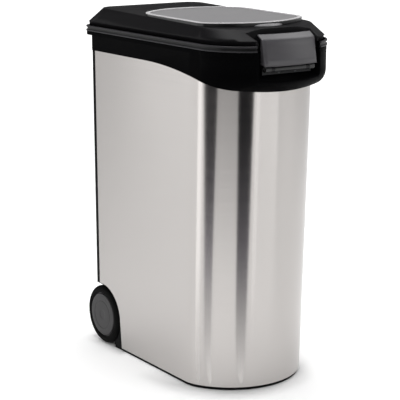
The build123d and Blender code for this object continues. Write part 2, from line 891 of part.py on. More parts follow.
def make_cap():
    # A flat disc with a groove and a shallow dish in its middle
    back = wheel_face - cap_thickness
    groove = cap_radius * 0.667
    dish = cap_radius * 0.21
    outline = Polyline(
        (back + hub_seat, 0.0),
        (back + hub_seat, cap_radius),
        (wheel_face - 1.0, cap_radius),
        (wheel_face, cap_radius - 1.4),
        (wheel_face, groove + 1.5),
        (wheel_face - cap_relief, groove + cap_relief),
        (wheel_face - cap_relief, groove - cap_relief),
        (wheel_face, groove - 1.5),
        (wheel_face, dish + 1.0),
        (wheel_face - cap_relief, dish),
        (wheel_face - cap_relief, 0.0),
        close=True,
    )
    body = revolve(make_face(outline), axis=Axis.X, revolution_arc=360)
    return Pos(0, wheel_y, wheel_radius) * body


def make_clip():
    ring = Cylinder(clip_radius, clip_thickness) - Cylinder(axle_radius + hub_seat, clip_thickness + 2)
    x = axle_half_length - clip_thickness / 2
    return Pos(x, wheel_y, wheel_radius) * Rot(0, 90, 0) * ring


def make_axle():
    return rod(axle_radius, -axle_half_length, axle_half_length, wheel_y, wheel_radius)


nodes = {
    "tub": make_tub(),
    "steel_wrap": make_wrap(),
    "collar": make_collar(),
    "rim_band": make_band(),
    "latch_bracket": make_bracket(),
    "bracket_screws": make_bracket_screws(),
    "latch_pin": rod(latch_pin_radius, -bracket_half_width, bracket_half_width, latch_pin_y, latch_pin_z),
    "axle": make_axle(),
    "lid_hinge_pins": make_lid_pins(),
    "lid": make_lid(),
    "lid_seal": make_lid_seal(),
    "hatch_hinge_pin": hatch_pin_rod(hatch_pin_radius),
    "hatch_panel": make_hatch_panel(),
    "hatch_rim": make_hatch_rim(),
    "hatch_tab": make_hatch_tab(),
    "hatch_seal": make_hatch_seal(),
    "latch_cover": make_latch(),
}
wheel_pieces = {"tyre": make_tyre(), "wheel_hub": make_hub(), "hub_cap": make_cap(), "axle_clip": make_clip()}
for name, piece in wheel_pieces.items():
    nodes[name + "_right"] = piece
    nodes[name + "_left"] = mirror(piece, about=Plane.YZ)

for name, piece in nodes.items():
    export_step(piece, "parts/" + name + ".step")
    print(name, "written")
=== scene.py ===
# Wheeled bin for dry pet food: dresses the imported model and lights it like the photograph
from math import asin, cos, pi, radians, sin, sqrt, tan

import bmesh
import bpy
from mathutils import Matrix, Vector


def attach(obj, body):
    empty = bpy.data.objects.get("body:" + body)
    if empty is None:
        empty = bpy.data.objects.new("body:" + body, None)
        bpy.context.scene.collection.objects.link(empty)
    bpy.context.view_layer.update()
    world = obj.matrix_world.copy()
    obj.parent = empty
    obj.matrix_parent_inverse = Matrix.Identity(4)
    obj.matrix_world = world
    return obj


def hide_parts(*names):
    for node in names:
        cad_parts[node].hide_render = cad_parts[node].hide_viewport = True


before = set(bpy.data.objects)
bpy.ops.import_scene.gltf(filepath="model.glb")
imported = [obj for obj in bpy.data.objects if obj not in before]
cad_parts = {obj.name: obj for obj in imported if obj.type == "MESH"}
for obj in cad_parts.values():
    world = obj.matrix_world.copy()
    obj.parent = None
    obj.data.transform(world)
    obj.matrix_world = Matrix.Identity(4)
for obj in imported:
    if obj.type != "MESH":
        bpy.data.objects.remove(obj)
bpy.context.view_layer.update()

mm = 0.001


# Shader maths. A Wire is one output of a node, so sums on wires add their Math nodes
class Wire:
    def __init__(self, tree, socket=None):
        self.tree = tree
        self.socket = socket

    def node(self, kind, settings=None, values=None, output=0):
        # makes any node: its settings first, then the values or wires of its sockets
        made = self.tree.nodes.new(kind)
        for name, value in (settings or {}).items():
            if name == "stops":
                fillRamp(made.color_ramp, value)
            else:
                setattr(made, name, value)
        for name, value in (values or {}).items():
            plugIn(self.tree, made.inputs[name], value)
        return Wire(self.tree, made.outputs[output]) if made.outputs else None

    def sum(self, operation, *values):
        return self.node("ShaderNodeMath", {"operation": operation}, dict(enumerate(values)))

    def __add__(self, other):
        return self.sum("ADD", self, other)

    def __radd__(self, other):
        return self.sum("ADD", other, self)

    def __sub__(self, other):
        return self.sum("SUBTRACT", self, other)

    def __rsub__(self, other):
        return self.sum("SUBTRACT", other, self)

    def __mul__(self, other):
        return self.sum("MULTIPLY", self, other)

    def __rmul__(self, other):
        return self.sum("MULTIPLY", other, self)

    def __truediv__(self, other):
        return self.sum("DIVIDE", self, other)

    def __rtruediv__(self, other):
        return self.sum("DIVIDE", other, self)

    def __pow__(self, other):
        return self.sum("POWER", self, other)


def plugIn(tree, socket, value):
    if isinstance(value, Wire):
        tree.links.new(value.socket, socket)
    else:
        socket.default_value = value


def fillRamp(ramp, stops):
    while len(ramp.elements) > 1:
        ramp.elements.remove(ramp.elements[-1])
    for index, (place, shade) in enumerate(stops):
        stop = ramp.elements[0] if index == 0 else ramp.elements.new(place)
        stop.position = place
        stop.color = (shade, shade, shade, 1)


def newMaterial(name):
    material = bpy.data.materials.new(name)
    material.use_nodes = True
    tree = material.node_tree
    shader = tree.nodes["Principled BSDF"]
    return material, Wire(tree), shader


def placeOn(wire, scale):
    # object coordinates, stretched by a scale for each axis
    place = wire.node("ShaderNodeTexCoord", output="Object")
    return wire.node("ShaderNodeMapping", {}, {"Vector": place, "Scale": scale})


def noiseOn(wire, place, size, detail=2.0):
    return wire.node("ShaderNodeTexNoise", {}, {"Vector": place, "Scale": size, "Detail": detail})


def mixColours(wire, factor, first, second):
    # each colour is three numbers, or a wire
    colours = [shade if isinstance(shade, Wire) else (*shade, 1) for shade in (first, second)]
    return wire.node("ShaderNodeMix", {"data_type": "RGBA"}, {0: factor, 6: colours[0], 7: colours[1]}, 2)


def bumpOn(wire, depth, relief, **more):
    return wire.node("ShaderNodeBump", {}, {"Strength": 1.0, "Distance": depth, "Height": relief, **more})


def axisOf(wire, place, axis):
    return wire.node("ShaderNodeSeparateXYZ", {}, {0: place}, axis)


def distanceAlong(wire, place, direction):
    values = {0: place, 1: direction}
    return wire.node("ShaderNodeVectorMath", {"operation": "DOT_PRODUCT"}, values, "Value")


def mapOn(wire, value, start, end, low=0.0, high=1.0):
    # low up to the start, high from the end on, and even in between
    span = {"Value": value, "From Min": start, "From Max": end, "To Min": low, "To Max": high}
    return wire.node("ShaderNodeMapRange", {}, span)


# Moulded plastic: fine grain in the mould, faint cloudiness, soft edges
mould = {"grain": 0.00004, "cloudSize": 9.0, "fineSize": 1600.0, "speckSize": 420.0, "shading": 0.14}


def mouldedPlastic(name, colour, roughness, edge, specular):
    material, wire, shader = newMaterial(name)
    place = placeOn(wire, (1, 1, 1))
    cloud = noiseOn(wire, place, mould["cloudSize"], 3.0)
    fine = noiseOn(wire, place, mould["fineSize"], 2.0)
    speck = noiseOn(wire, place, mould["speckSize"], 3.0)
    darker = tuple(c * (1 - mould["shading"]) for c in colour)
    lighter = tuple(c * (1 + mould["shading"]) for c in colour)
    stain = mixColours(wire, cloud * 0.7 + speck * 0.3, darker, lighter)
    rounded = wire.node("ShaderNodeBevel", {"samples": 4}, {"Radius": edge})
    plugIn(wire.tree, shader.inputs["Base Color"], stain)
    plugIn(wire.tree, shader.inputs["Roughness"], roughness + (cloud - 0.5) * 0.10 + (fine - 0.5) * 0.05)
    bumped = bumpOn(wire, mould["grain"], fine * 0.7 + speck * 0.3, Normal=rounded)
    plugIn(wire.tree, shader.inputs["Normal"], bumped)
    shader.inputs["Specular IOR Level"].default_value = specular
    return material


# Plastic with painted shade below a line: painted shadow on the clasp's hinge barrel under its cover,
# painted shade on the hatch's edge under its bead.
# With a middle the painted shade lies near that height: on the floor of the band's groove
def paintedShadePlastic(name, shadeColour, up, line, middle=None, softness=0.0004, **values):
    material = mouldedPlastic(name, **values)
    wire = Wire(material.node_tree)
    colour = material.node_tree.nodes["Principled BSDF"].inputs["Base Color"]
    moulded = Wire(wire.tree, colour.links[0].from_socket)
    height = distanceAlong(wire, placeOn(wire, (1, 1, 1)), up)
    if middle is not None:
        height = wire.sum("ABSOLUTE", height - middle)
    above = mapOn(wire, height, line, line + softness)
    plugIn(wire.tree, colour, mixColours(wire, above, shadeColour, moulded))
    return material


# Brushed stainless sheet: hair lines run round the bin, so reflections smear up and down
def brushedSheet(name, colour, roughness, lineDepth, stretch, lineScale, broadScale, cloudSize):
    material, wire, shader = newMaterial(name)
    lines = noiseOn(wire, placeOn(wire, lineScale), 1.0, 2.0)
    broad = noiseOn(wire, placeOn(wire, broadScale), 1.0, 3.0)
    cloud = noiseOn(wire, placeOn(wire, (1, 1, 1)), cloudSize, 2.0)
    darker = tuple(c * 0.93 for c in colour)
    stain = mixColours(wire, lines * 0.5 + broad * 0.5, darker, colour)
    plugIn(wire.tree, shader.inputs["Base Color"], stain)
    plugIn(wire.tree, shader.inputs["Roughness"], roughness + (broad - 0.5) * 0.08 + (cloud - 0.5) * 0.05)
    plugIn(wire.tree, shader.inputs["Normal"], bumpOn(wire, lineDepth, lines * 0.6 + broad * 0.4))
    shader.inputs["Metallic"].default_value = 1.0
    shader.inputs["Anisotropic"].default_value = stretch
    shader.inputs["Anisotropic Rotation"].default_value = 0.25
    return material


# Steel with fine rings from turning, round pins that lie along X
def turnedSteel(name, colour, roughness, ringDepth=0.00002, ringScale=(2400, 60, 60)):
    material, wire, shader = newMaterial(name)
    rings = noiseOn(wire, placeOn(wire, ringScale), 1.0, 2.0)
    darker = tuple(c * 0.85 for c in colour)
    plugIn(wire.tree, shader.inputs["Base Color"], mixColours(wire, rings, darker, colour))
    plugIn(wire.tree, shader.inputs["Roughness"], roughness + (rings - 0.5) * 0.1)
    plugIn(wire.tree, shader.inputs["Normal"], bumpOn(wire, ringDepth, rings))
    shader.inputs["Metallic"].default_value = 1.0
    return material


finishes = {
    "lidPlastic": {"colour": (0.006, 0.0056, 0.0066), "roughness": 0.52, "edge": 0.003, "specular": 0.11},
    "tubPlastic": {"colour": (0.005, 0.005, 0.0055), "roughness": 0.5, "edge": 0.001, "specular": 0.03},
    "collarPlastic": {"colour": (0.0016, 0.0016, 0.0019), "roughness": 0.45, "edge": 0.0015,
                      "specular": 0.007},
    # painted shade: the clasp's grey bracket plate is coloured near black, where it lies in the shadow of
    # the clasp's cover
    "platePlastic": {"colour": (0.010, 0.010, 0.011), "roughness": 0.45, "edge": 0.0006, "specular": 0.2},
    "rimPlastic": {"colour": (0.54, 0.53, 0.54), "roughness": 0.25, "edge": 0.0008, "specular": 0.5},
    "hubPlastic": {"colour": (0.065, 0.062, 0.066), "roughness": 0.45, "edge": 0.0008, "specular": 0.45},
    "tabPlastic": {"colour": (0.15, 0.147, 0.153), "roughness": 0.4, "edge": 0.0004, "specular": 0.5},
    "capPlastic": {"colour": (0.030, 0.0285, 0.030), "roughness": 0.45, "edge": 0.0004, "specular": 0.4},
    "tyreRubber": {"colour": (0.0035, 0.0035, 0.0035), "roughness": 0.6, "edge": 0.0008, "specular": 0.04},
    "sealRubber": {"colour": (0.02, 0.02, 0.02), "roughness": 0.7, "edge": 0.0004, "specular": 0.3},
}
# The hatch's top leans less than the lid's, so the hatch is thickest in front
hatch = {
    "tilt": 1.5, "topHeight": 598.108, "thickness": 2.52, "rear": 82.5, "wedge": 0.013, "lightDepth": 0.4,
    "topBand": 0.05,
}
hatchUp = (0, hatch["wedge"] - sin(radians(hatch["tilt"])), cos(radians(hatch["tilt"])))
hatchTop = hatch["topHeight"] * hatchUp[2] + hatch["thickness"] + hatch["wedge"] * hatch["rear"]
hatchLine = (hatchTop - hatch["lightDepth"]) * mm
# Painted shade: the clasp's barrel is dark below its cover, the band's groove is dark at its floor, and the
# hatch's sides are dark below a thin top band
paintedShadeFinishes = {
    "latchPlastic": {"colour": (0.06, 0.057, 0.063), "roughness": 0.36, "edge": 0.0016, "specular": 0.5,
                     "shadeColour": (0.006, 0.006, 0.0064), "up": (0, 0, 1), "line": 0.5383},
    "bandPlastic": {"colour": (0.028, 0.027, 0.030), "roughness": 0.38, "edge": 0.0005, "specular": 0.2,
                    "shadeColour": (0.006, 0.006, 0.0065), "up": (0, 0, 1), "line": 0.0019,
                    "middle": 0.56575},
    "hatchPlastic": {"colour": (0.205, 0.2, 0.206), "roughness": 0.3, "edge": 0.0008, "specular": 0.5,
                     "shadeColour": (0.007, 0.0068, 0.0075), "up": hatchUp, "line": hatchLine},
}
sheetFinish = {
    "colour": (0.53, 0.507, 0.492), "roughness": 0.19, "lineDepth": 0.000010, "stretch": 0.88,
    "lineScale": (5, 5, 2600), "broadScale": (3, 3, 260), "cloudSize": 6.0,
}
paint = {name: mouldedPlastic(name, **values) for name, values in finishes.items()}
paint.update({name: paintedShadePlastic(name, **values) for name, values in paintedShadeFinishes.items()})
paint["brushedSheet"] = brushedSheet("brushedSheet", **sheetFinish)
paint["turnedSteel"] = turnedSteel("turnedSteel", (0.62, 0.61, 0.6), 0.3)
paint["darkSteel"] = turnedSteel("darkSteel", (0.10, 0.10, 0.105), 0.4)
print("materials made:", len(paint))


# Pieces
def newPiece(name, mesh, material, body, slot, *nodes):
    piece = bpy.data.objects.new(name, mesh)
    bpy.context.scene.collection.objects.link(piece)
    piece.data.materials.clear()
    piece.data.materials.append(paint[material])
    if nodes:
        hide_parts(*nodes)
    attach(piece, body)
    return piece


def smoothByAngle(mesh, angle):
    for face in mesh.polygons:
        face.use_smooth = True
    mesh.set_sharp_from_angle(angle=radians(angle))


def softCopy(node, angle=32.0):
    # a merged copy of a node's triangles, shaded smooth over its rounds
    mesh = bpy.data.objects[node].data.copy()
    work = bmesh.new()
    work.from_mesh(mesh)
    bmesh.ops.remove_doubles(work, verts=work.verts, dist=0.00001)
    work.to_mesh(mesh)
    work.free()
    smoothByAngle(mesh, angle)
    return mesh


def applyModifiers(piece):
    # the evaluated shape becomes a plain mesh, and the modifiers go
    shape = piece.evaluated_get(bpy.context.evaluated_depsgraph_get())
    mesh = bpy.data.meshes.new_from_object(shape)
    piece.modifiers.clear()
    piece.data = mesh
    return mesh


def temporaryPiece(name, mesh):
    piece = bpy.data.objects.new(name, mesh)
    bpy.context.scene.collection.objects.link(piece)
    return piece


def meshOf(name, points, edges=(), faces=()):
    mesh = bpy.data.meshes.new(name)
    mesh.from_pydata([tuple(c * mm for c in point) for point in points], edges, faces)
    return mesh


def meshFrom(name, work):
    mesh = bpy.data.meshes.new(name)
    work.to_mesh(mesh)
    work.free()
    return mesh


def facesOut(mesh):
    work = bmesh.new()
    work.from_mesh(mesh)
    bmesh.ops.remove_doubles(work, verts=work.verts, dist=0.000002)
    bmesh.ops.recalc_face_normals(work, faces=work.faces)
    work.to_mesh(mesh)
    work.free()
    return mesh


# Geometry Nodes trees: each has named inputs, and a piece fills them
def newTree(name, inputs):
    tree = bpy.data.node_groups.new(name, "GeometryNodeTree")
    tree.interface.new_socket("Geometry", in_out="INPUT", socket_type="NodeSocketGeometry")
    for title, kind in inputs.items():
        tree.interface.new_socket(title, in_out="INPUT", socket_type=f"NodeSocket{kind}")
    tree.interface.new_socket("Geometry", in_out="OUTPUT", socket_type="NodeSocketGeometry")
    return tree, Wire(tree)


def treeInput(wire, title):
    return wire.node("NodeGroupInput", output=title)


def endTree(wire, shape):
    real = wire.node("GeometryNodeRealizeInstances", {}, {"Geometry": shape})
    finish = {"Geometry": real, "Material": treeInput(wire, "Finish")}
    wire.node("NodeGroupOutput", {}, {"Geometry": wire.node("GeometryNodeSetMaterial", {}, finish)})


def grow(tree, base, values):
    # runs a tree on a base mesh: inputs are set by their sockets' identifiers
    piece = temporaryPiece("grown", base)
    modifier = piece.modifiers.new("grow", "NODES")
    modifier.node_group = tree
    for item in tree.interface.items_tree:
        if item.in_out == "INPUT" and item.name in values:
            modifier[item.identifier] = values[item.name]
    mesh = applyModifiers(piece)
    bpy.data.objects.remove(piece)
    return mesh


def sectionTree():
    # a section follows a path, upright all the way
    tree, wire = newTree("sectionAlongPath", {"Section": "Object", "Turn": "Float", "Finish": "Material"})
    section = wire.node("GeometryNodeObjectInfo", {}, {"Object": treeInput(wire, "Section")}, "Geometry")
    profile = wire.node("GeometryNodeMeshToCurve", {}, {0: section})
    path = wire.node("GeometryNodeMeshToCurve", {}, {0: treeInput(wire, "Geometry")})
    upright = wire.node("GeometryNodeSetCurveNormal", {"mode": "Z_UP"}, {"Curve": path})
    turned = wire.node("GeometryNodeSetCurveTilt", {}, {"Curve": upright, "Tilt": treeInput(wire, "Turn")})
    parts = {"Curve": turned, "Profile Curve": profile, "Fill Caps": True}
    endTree(wire, wire.node("GeometryNodeCurveToMesh", {}, parts))
    return tree


def overLid(point):
    # height over the lid's sloping top
    tilt = radians(hatch["tilt"])
    return (point.z - hatch["topHeight"] * mm) * cos(tilt) - point.y * sin(tilt)


def wedge(y):
    # what the hatch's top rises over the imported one, in millimetres
    return max(hatch["wedge"] * (hatch["rear"] - y), 0.0)


def wedgedCopy(node, angle):
    mesh = softCopy(node, angle)
    for vertex in mesh.vertices:
        if overLid(vertex.co) > (hatch["thickness"] - hatch["topBand"]) * mm:
            vertex.co.z += wedge(vertex.co.y / mm) * mm
    smoothByAngle(mesh, angle)
    return mesh


# node: name of the piece, material, body, slot
dressed = {
    "tub": ("tubMoulding", "tubPlastic", "tub", "black_plastic"),
    "collar": ("collarMoulding", "collarPlastic", "tub", "black_plastic"),
    "latch_bracket": ("latchPlate", "platePlastic", "tub", "grey_plastic"),
    "lid": ("lidMoulding", "lidPlastic", "lid", "lid_plastic"),
    "latch_cover": ("latchCover", "latchPlastic", "latch", "grey_plastic"),
}
for node, (name, material, body, slot) in dressed.items():
    newPiece(name, softCopy(node), material, body, slot, node)
hatchMesh = wedgedCopy("hatch_panel", 6.0)
newPiece("hatchPlate", hatchMesh, "hatchPlastic", "hatch", "hatch_plastic", "hatch_panel")
for side in ("left", "right"):
    node = f"wheel_hub_{side}"
    newPiece(f"wheelHub.{side}", softCopy(node), "hubPlastic", f"wheel_{side}", "hub_plastic", node)
keptNodes = {
    "latch_pin": "turnedSteel",
    "axle": "turnedSteel",
    "axle_clip_left": "turnedSteel",
    "axle_clip_right": "turnedSteel",
    "lid_hinge_pins": "turnedSteel",
    "hatch_hinge_pin": "turnedSteel",
    "lid_seal": "sealRubber",
    "hatch_seal": "sealRubber",
}
for node, material in keptNodes.items():
    target = bpy.data.objects[node]
    target.data.materials.clear()
    target.data.materials.append(paint[material])
print("moulded pieces dressed, and kept nodes painted:", len(keptNodes))


# Sections and outlines in millimetres
def roundedFront(half, front, noseTurn, shoulder, steps=24):
    # from the middle of a rounded front round to its straight side, on the right
    turn = radians(noseTurn)
    across = half - shoulder
    nose = shoulder + across / sin(turn)
    noseY = front + nose
    sideY = noseY - across / tan(turn)
    angles = [turn * k / steps for k in range(steps + 1)]
    points = [(nose * sin(a), noseY - nose * cos(a)) for a in angles]
    angles = [turn + (radians(90) - turn) * k / steps for k in range(1, steps + 1)]
    return points + [(across + shoulder * sin(a), sideY - shoulder * cos(a)) for a in angles]


def outlineHalf(half, front, rear, noseTurn, shoulder, corner, steps=12):
    # right half of a D outline, with the round of its rear corner
    angles = [radians(90) * k / steps for k in range(steps + 1)]
    rearRound = [(half - corner * (1 - cos(a)), rear - corner * (1 - sin(a))) for a in angles]
    return roundedFront(half, front, noseTurn, shoulder) + rearRound


def roundedSection(points, radii, steps=4):
    # closed polygon with a round at each corner
    found = []
    for index, (corner, radius) in enumerate(zip(points, radii)):
        here = Vector(corner)
        before = Vector(points[index - 1]) - here
        after = Vector(points[(index + 1) % len(points)]) - here
        half = before.angle(after) / 2
        if radius == 0:
            found.append(tuple(here))
            continue
        start = here + before.normalized() * radius / tan(half)
        end = here + after.normalized() * radius / tan(half)
        middle = here + (before.normalized() + after.normalized()).normalized() * radius / sin(half)
        for k in range(steps + 1):
            spoke = (start - middle).lerp(end - middle, k / steps).normalized() * radius
            found.append(tuple(middle + spoke))
    return found


def lineMesh(name, points, closed=True):
    count = len(points)
    edges = [(k, k + 1) for k in range(count - 1)] + ([(count - 1, 0)] if closed else [])
    return meshOf(name, points, edges)


def sweep(name, path, section, material, closed=True):
    # path: points in space, travelled so that the outside is on the left
    holder = temporaryPiece(name + "Section", lineMesh(name + "Section", [(x, y, 0) for x, y in section]))
    values = {"Section": holder, "Turn": radians(180), "Finish": paint[material]}
    mesh = grow(alongPath, lineMesh(name, path, closed), values)
    bpy.data.objects.remove(holder)
    return facesOut(mesh)


alongPath = sectionTree()

# The grey band round the collar, open where the clasp's pocket is
band = {
    "half": 116.0, "front": -233.0, "rear": 221.0, "noseTurn": 13.85, "shoulder": 88.0, "corner": 27.0,
    "bottom": 561.0, "height": 9.5, "depth": 3.0, "edge": 0.8, "pocketHalf": 59.0,
    "grooveWidth": 4.4, "grooveDepth": 2.2, "grooveEdge": 0.5, "grooveCorner": 0.3,
}


def bandSection():
    h, d, w, g = band["height"], band["depth"], band["grooveWidth"], band["grooveDepth"]
    low, high = (h - w) / 2, (h + w) / 2
    corners = [(-d, 0), (0, 0), (0, low), (-g, low), (-g, high), (0, high), (0, h), (-d, h)]
    soft, brink, foot = band["edge"], band["grooveEdge"], band["grooveCorner"]
    return roundedSection(corners, [0, soft, brink, foot, foot, brink, soft, 0])


outline = ("half", "front", "rear", "noseTurn", "shoulder", "corner")
half = outlineHalf(*(band[name] for name in outline))
half = [point for point in half if point[0] >= band["pocketHalf"] or point[1] > 0]
bandPath = [(-x, y, band["bottom"]) for x, y in half] + [(x, y, band["bottom"]) for x, y in reversed(half)]
bandMesh = sweep("bandRing", bandPath, bandSection(), "bandPlastic", closed=False)
smoothByAngle(bandMesh, 50.0)
newPiece("bandRing", bandMesh, "bandPlastic", "tub", "grey_plastic", "rim_band")

# The bead round the hatch, on the lid's sloping top
bead = {
    "half": 102.0, "front": -170.0, "frontBow": 43.0, "rearBow": 44.5,
    "frontRadius": 30.0, "rearRadius": 50.0, "width": 7.0, "height": 1.2, "edge": 0.8,
}


def bowedEnd(half, end, bow, radius, direction, steps=20):
    # from the middle of a bowed end round its corner to the side, on the right
    big = (half**2 + bow**2) / (2 * bow)
    centre = end - direction * big
    rise = sqrt((big - radius) ** 2 - (half - radius) ** 2)
    turn = asin((half - radius) / (big - radius))
    angles = [turn * k / steps for k in range(steps + 1)]
    points = [(big * sin(a), centre + direction * big * cos(a)) for a in angles]
    angles = [turn + (radians(90) - turn) * k / steps for k in range(1, steps + 1)]
    side = half - radius
    return points + [(side + radius * sin(a), centre + direction * (rise + radius * cos(a))) for a in angles]


def onLid(x, y, lift):
    tilt = radians(hatch["tilt"])
    return x, y * cos(tilt) - lift * sin(tilt), hatch["topHeight"] + y * sin(tilt) + lift * cos(tilt)


def onHatch(x, y):
    return onLid(x, y, hatch["thickness"] + wedge(y))


near = bowedEnd(bead["half"], bead["front"], bead["frontBow"], bead["frontRadius"], -1)
far = bowedEnd(bead["half"], hatch["rear"], bead["rearBow"], bead["rearRadius"], 1)
half = near + far[::-1]
beadPath = [onHatch(-x, y) for x, y in half] + [onHatch(x, y) for x, y in half[-2:0:-1]]
w, h, soft = bead["width"], bead["height"], bead["edge"]
beadSection = roundedSection([(-w, 0), (0, 0), (0, h), (-w, h)], [0, 0, soft, soft], 6)
beadMesh = sweep("hatchRim", beadPath, beadSection, "rimPlastic")
smoothByAngle(beadMesh, 40.0)
newPiece("hatchRim", beadMesh, "rimPlastic", "hatch", "rim_plastic", "hatch_rim")

# The lip that a finger lifts: a lens between the hatch's bowed front and a rounder arc.
# Each height in the profile goes with a share of the way from the rear arc to the front one
lip = {
    "halfWidth": 28.2, "frontCentre": -136.05, "frontRadius": 42.05,
    "rearCentre": -27.52, "rearRadius": 142.48,
    "gap": 0.15, "leastDepth": 0.05, "columns": 40, "under": 0.4, "leastHeight": 0.1,
    "profile": [(0.0, 3.6), (0.05, 4.1), (0.16, 4.4), (0.34, 4.2),
                (0.6, 3.3), (0.8, 2.3), (0.93, 1.4), (1.0, 0.8)],
}


def buildLip():
    s = lip
    work = bmesh.new()
    grid = []
    for column in range(s["columns"] + 1):
        x = s["halfWidth"] * sin(radians(90) * (2 * column / s["columns"] - 1))
        rear = s["rearCentre"] - sqrt(s["rearRadius"] ** 2 - x**2) - s["gap"]
        front = min(s["frontCentre"] - sqrt(s["frontRadius"] ** 2 - x**2), rear - s["leastDepth"])
        depth = rear - front
        full = s["frontRadius"] - s["frontCentre"] + s["rearCentre"] - s["rearRadius"]
        swell = min(sqrt(max(depth / full, 0.0)), 1.0)
        row = [onLid(x, rear, s["under"])]
        for share, height in s["profile"]:
            lift = s["under"] + s["leastHeight"] + (height - s["under"]) * swell
            row.append(onLid(x, rear - depth * share, lift))
        row.append(onLid(x, front, s["under"]))
        grid.append([work.verts.new(Vector(point) * mm) for point in row])
    for left, right in zip(grid, grid[1:]):
        count = len(left)
        for k in range(count):
            work.faces.new((left[k], right[k], right[(k + 1) % count], left[(k + 1) % count]))
    work.faces.new(grid[0])
    work.faces.new(grid[-1])
    bmesh.ops.recalc_face_normals(work, faces=work.faces)
    return meshFrom("hatchTab", work)


lipMesh = buildLip()
smoothByAngle(lipMesh, 50.0)
newPiece("hatchTab", lipMesh, "tabPlastic", "hatch", "rim_plastic", "hatch_tab")
print("band and bead swept:", len(bandMesh.polygons), len(beadMesh.polygons), "faces")

# Wheels: sections turned about the axle. Sections are (radius, distance out from the bin's middle)
wheel = {
    "y": 163.0, "z": 52.7, "radius": 52.7, "face": 115.6, "width": 34.0, "bore": 40.0,
    "shoulder": 7.0, "shy": 0.6, "pathRadius": 0.001,
    "treadGrooves": 3, "treadPitch": 6.0, "grooveWidth": 1.4, "grooveDepth": 0.5, "grooveFloor": 0.6,
    "beadRadius": 42.6, "beadWidth": 1.6, "beadHeight": 0.35, "beadSlope": 0.4,
    "capRadius": 38.2, "capBack": 112.62, "capEdge": 1.2, "capGroove": 25.5, "capDish": 8.0,
    "capRelief": 0.35, "capSlope": (0.5, 1.2), "dishSlope": 0.9, "steps": 96,
}


def tyreSection():
    w = wheel
    inner, outer, r = w["face"] - w["width"], w["face"] - w["shy"], w["radius"]
    middle = (inner + outer) / 2
    ring, raised, slope = w["beadRadius"], outer + w["beadHeight"], w["beadSlope"]
    ringEnd = ring + w["beadWidth"]
    points = [(w["bore"], inner), (w["bore"], outer), (ring, outer), (ring + slope, raised)]
    points += [(ringEnd, raised), (ringEnd + slope, outer), (r, outer)]
    radii = [0, 0.3, 0.2, 0.1, 0.1, 0.2, w["shoulder"]]
    half = w["grooveWidth"] / 2
    deep, floor = r - w["grooveDepth"], half * w["grooveFloor"]
    for k in reversed(range(w["treadGrooves"])):
        place = middle + (k - (w["treadGrooves"] - 1) / 2) * w["treadPitch"]
        points += [(r, place + half), (deep, place + floor), (deep, place - floor), (r, place - half)]
        radii += [0.15, 0.1, 0.1, 0.15]
    points.append((r, inner))
    radii.append(w["shoulder"])
    return roundedSection(points, radii, 5)


def capSection():
    w = wheel
    face, back, low = w["face"], w["capBack"], w["face"] - w["capRelief"]
    groove, dish = w["capGroove"], w["capDish"]
    near, far = w["capSlope"]
    points = [(0, back), (w["capRadius"], back), (w["capRadius"], face)]
    points += [(groove + far, face), (groove + near, low), (groove - near, low), (groove - far, face)]
    points += [(dish + w["dishSlope"], face), (dish, low), (0, low)]
    return roundedSection(points, [0, 0.3, w["capEdge"], 0.3, 0.2, 0.2, 0.3, 0.4, 0.3, 0], 4)


def turnedPiece(name, section, material, side):
    # sweeps round a small circle, which lies flat, and stands it on the axle
    steps, small = wheel["steps"], wheel["pathRadius"]
    angles = [-2 * pi * k / steps for k in range(steps)]
    path = [(small * cos(a), small * sin(a), 0) for a in angles]
    mesh = sweep(name, path, section, material)
    axle = Matrix.Translation((0, wheel["y"] * mm, wheel["z"] * mm))
    mesh.transform(axle @ Matrix.Rotation(radians(90 * side), 4, "Y"))
    return mesh


for side, sign in (("left", -1), ("right", 1)):
    tyreMesh = turnedPiece("tyre", tyreSection(), "tyreRubber", sign)
    smoothByAngle(tyreMesh, 35.0)
    newPiece(f"tyre.{side}", tyreMesh, "tyreRubber", f"wheel_{side}", "tyre_rubber", f"tyre_{side}")
    capMesh = turnedPiece("hubCap", capSection(), "capPlastic", sign)
    smoothByAngle(capMesh, 35.0)
    newPiece(f"hubCap.{side}", capMesh, "capPlastic", f"wheel_{side}", "hub_plastic", f"hub_cap_{side}")
print("wheels turned:", len(tyreMesh.polygons), len(capMesh.polygons), "faces each")

# Screws that hold the clasp's bracket: one head, set on its places
screws = {
    "places": [(-16.0, -215.04, 528.5), (16.0, -215.04, 528.5)], "radius": 2.6, "height": 1.36, "edge": 0.35,
    "slot": 0.7, "slotDepth": 0.8, "slotReach": 1.5, "rings": 5, "steps": 24,
}


def screwTree():
    tree, wire = newTree("headsOnPoints", {"Head": "Object", "Finish": "Material"})
    head = wire.node("GeometryNodeObjectInfo", {}, {"Object": treeInput(wire, "Head")}, "Geometry")
    values = {"Points": treeInput(wire, "Geometry"), "Instance": head}
    endTree(wire, wire.node("GeometryNodeInstanceOnPoints", {}, values))
    return tree


